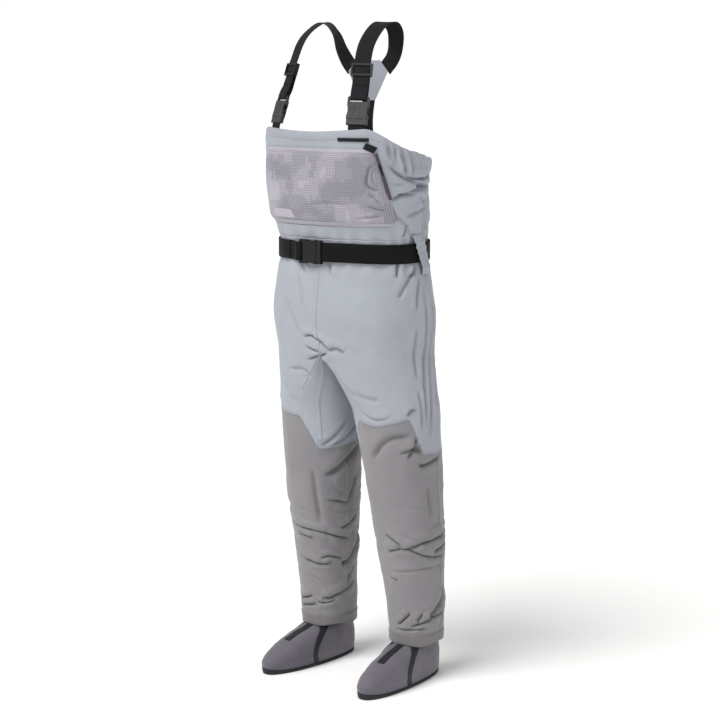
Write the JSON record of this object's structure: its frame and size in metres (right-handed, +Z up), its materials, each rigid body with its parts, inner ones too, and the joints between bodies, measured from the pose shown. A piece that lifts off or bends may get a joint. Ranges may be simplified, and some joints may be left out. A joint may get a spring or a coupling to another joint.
{
  "type": "chest waders",
  "caption": "Stocking-foot chest waders: a high bib with shoulder straps, waist belt, zipped chest pocket, reinforced legs and neoprene booties.",
  "frame": {"origin": "on the floor under the middle of the standing garment", "axes": "+Z up, -Y is the front of the garment, +X is the wearer's left"},
  "size_m": [0.44, 0.3324, 1.6224],
  "materials": {
    "light_fabric": "matte woven nylon, light blue-grey",
    "dark_fabric": "matte woven nylon, warm mid grey",
    "hem_fabric": "matte woven nylon, warm grey",
    "neoprene": "soft matt neoprene foam, purple-grey",
    "sole_rubber": "matt black rubberised neoprene",
    "tape_black": "near-black seam tape",
    "webbing": "black ribbed polypropylene webbing",
    "hardware": "dark grey acetal, satin edges",
    "mesh_fabric": "lavender-grey printed mesh laminate",
    "zip": "dark purple coil zip",
    "elastic": "black knitted elastic"
  },
  "bodies": {
    "garment": {"back_elastic": "elastic", "back_yoke": "light_fabric", "belt_buckle_male": "hardware", "belt_end_loop": "webbing", "belt_loop_left": "light_fabric", "belt_loop_right": "light_fabric", "belt_webbing": "webbing", "bib_back": "light_fabric", "bib_front": "light_fabric", "bootie_left": "neoprene", "bootie_right": "neoprene", "bootie_side_tapes_left": "tape_black", "bootie_side_tapes_right": "tape_black", "chest_pocket": "mesh_fabric", "crotch_gusset": "light_fabric", "cuff_hem_left": "hem_fabric", "cuff_hem_right": "hem_fabric", "instep_strip_left": "tape_black", "instep_strip_right": "tape_black", "lower_leg_back_left": "dark_fabric", "lower_leg_back_right": "dark_fabric", "lower_leg_front_left": "dark_fabric", "lower_leg_front_right": "dark_fabric", "pocket_blank_patch": "mesh_fabric", "pocket_bottom_band": "mesh_fabric", "pocket_corner_tab": "webbing", "pocket_zip": "zip", "rim_elastic": "elastic", "seat_back_left": "light_fabric", "seat_back_right": "light_fabric", "seat_front_left": "light_fabric", "seat_front_right": "light_fabric", "shoulder_buckle_left_male": "hardware", "shoulder_buckle_right_male": "hardware", "shoulder_strap_left": "webbing", "shoulder_strap_right": "webbing", "shoulder_tab_left": "webbing", "shoulder_tab_right": "webbing", "sole_left": "sole_rubber", "sole_right": "sole_rubber", "strap_loop_left": "webbing", "strap_loop_right": "webbing", "tool_strip": "webbing", "upper_leg_left": "light_fabric", "upper_leg_right": "light_fabric"},
    "shoulder_buckle_left_female": {"shoulder_buckle_left_female": "hardware"},
    "shoulder_buckle_left_prong_a": {"shoulder_buckle_left_prong_a": "hardware"},
    "shoulder_buckle_left_prong_b": {"shoulder_buckle_left_prong_b": "hardware"},
    "shoulder_buckle_right_female": {"shoulder_buckle_right_female": "hardware"},
    "shoulder_buckle_right_prong_a": {"shoulder_buckle_right_prong_a": "hardware"},
    "shoulder_buckle_right_prong_b": {"shoulder_buckle_right_prong_b": "hardware"},
    "belt_buckle_female": {"belt_buckle_female": "hardware"},
    "belt_buckle_prong_a": {"belt_buckle_prong_a": "hardware"},
    "belt_buckle_prong_b": {"belt_buckle_prong_b": "hardware"},
    "strap_slider_left": {"strap_slider_left": "hardware", "slider_fold_left": "webbing"},
    "strap_slider_right": {"strap_slider_right": "hardware", "slider_fold_right": "webbing"},
    "zip_slider": {"zip_slider": "zip"},
    "zip_pull": {"zip_pull": "zip"}
  },
  "joints": [
    {"name": "shoulder_buckle_left_release", "type": "slide", "parent": "garment", "child": "shoulder_buckle_left_female", "axis": [-0.1077, 0.2938, 0.9498], "range_m": [0, 0.026], "deforming": ["strap_loop_left"]},
    {"name": "shoulder_buckle_left_prong_a_squeeze", "type": "hinge", "parent": "garment", "child": "shoulder_buckle_left_prong_a", "pos_m": [0.1314, -0.12689, 1.39901], "axis": [0.397, -0.8631, 0.312], "range_deg": [0, 7], "stiffness_Nm_per_rad": 0.4},
    {"name": "shoulder_buckle_left_prong_b_squeeze", "type": "hinge", "parent": "garment", "child": "shoulder_buckle_left_prong_b", "pos_m": [0.1077, -0.13757, 1.39963], "axis": [-0.397, 0.8631, -0.312], "range_deg": [0, 7], "stiffness_Nm_per_rad": 0.4},
    {"name": "shoulder_buckle_right_release", "type": "slide", "parent": "garment", "child": "shoulder_buckle_right_female", "axis": [0.1077, 0.2938, 0.9498], "range_m": [0, 0.026], "deforming": ["strap_loop_right"]},
    {"name": "shoulder_buckle_right_prong_a_squeeze", "type": "hinge", "parent": "garment", "child": "shoulder_buckle_right_prong_a", "pos_m": [-0.1077, -0.13757, 1.39963], "axis": [-0.397, -0.8631, 0.312], "range_deg": [0, 7], "stiffness_Nm_per_rad": 0.4},
    {"name": "shoulder_buckle_right_prong_b_squeeze", "type": "hinge", "parent": "garment", "child": "shoulder_buckle_right_prong_b", "pos_m": [-0.1314, -0.12689, 1.39901], "axis": [0.397, 0.8631, -0.312], "range_deg": [0, 7], "stiffness_Nm_per_rad": 0.4},
    {"name": "belt_buckle_release", "type": "slide", "parent": "garment", "child": "belt_buckle_female", "axis": [-1, 0, 0], "range_m": [0, 0.026], "deforming": ["belt_end_loop"]},
    {"name": "belt_buckle_prong_a_squeeze", "type": "hinge", "parent": "garment", "child": "belt_buckle_prong_a", "pos_m": [-0.0006, -0.137, 1.096], "axis": [0, -1, 0], "range_deg": [0, 7], "stiffness_Nm_per_rad": 0.4},
    {"name": "belt_buckle_prong_b_squeeze", "type": "hinge", "parent": "garment", "child": "belt_buckle_prong_b", "pos_m": [-0.0006, -0.137, 1.064], "axis": [0, 1, 0], "range_deg": [0, 7], "stiffness_Nm_per_rad": 0.4},
    {"name": "strap_slider_left_adjust", "type": "slide", "parent": "garment", "child": "strap_slider_left", "axis": [-0.1077, 0.2938, 0.9498], "range_m": [-0.02, 0.02], "deforming": ["strap_loop_left"]},
    {"name": "strap_slider_right_adjust", "type": "slide", "parent": "garment", "child": "strap_slider_right", "axis": [0.1077, 0.2938, 0.9498], "range_m": [-0.02, 0.02], "deforming": ["strap_loop_right"]},
    {"name": "pocket_zip_slide", "type": "slide", "parent": "garment", "child": "zip_slider", "axis": [-0.143, -0.302, 0.9425], "range_m": [-0.06, 0.02]},
    {"name": "zip_pull_swing", "type": "hinge", "parent": "zip_slider", "child": "zip_pull", "pos_m": [0.18444, -0.1297, 1.28985], "axis": [-0.7122, -0.6298, -0.3099], "range_deg": [0, 150]}
  ],
  "couplings": [
    {"joint": "shoulder_buckle_left_prong_b_squeeze", "follows": "shoulder_buckle_left_prong_a_squeeze", "ratio": 1},
    {"joint": "shoulder_buckle_right_prong_b_squeeze", "follows": "shoulder_buckle_right_prong_a_squeeze", "ratio": 1},
    {"joint": "belt_buckle_prong_b_squeeze", "follows": "belt_buckle_prong_a_squeeze", "ratio": 1}
  ]
}
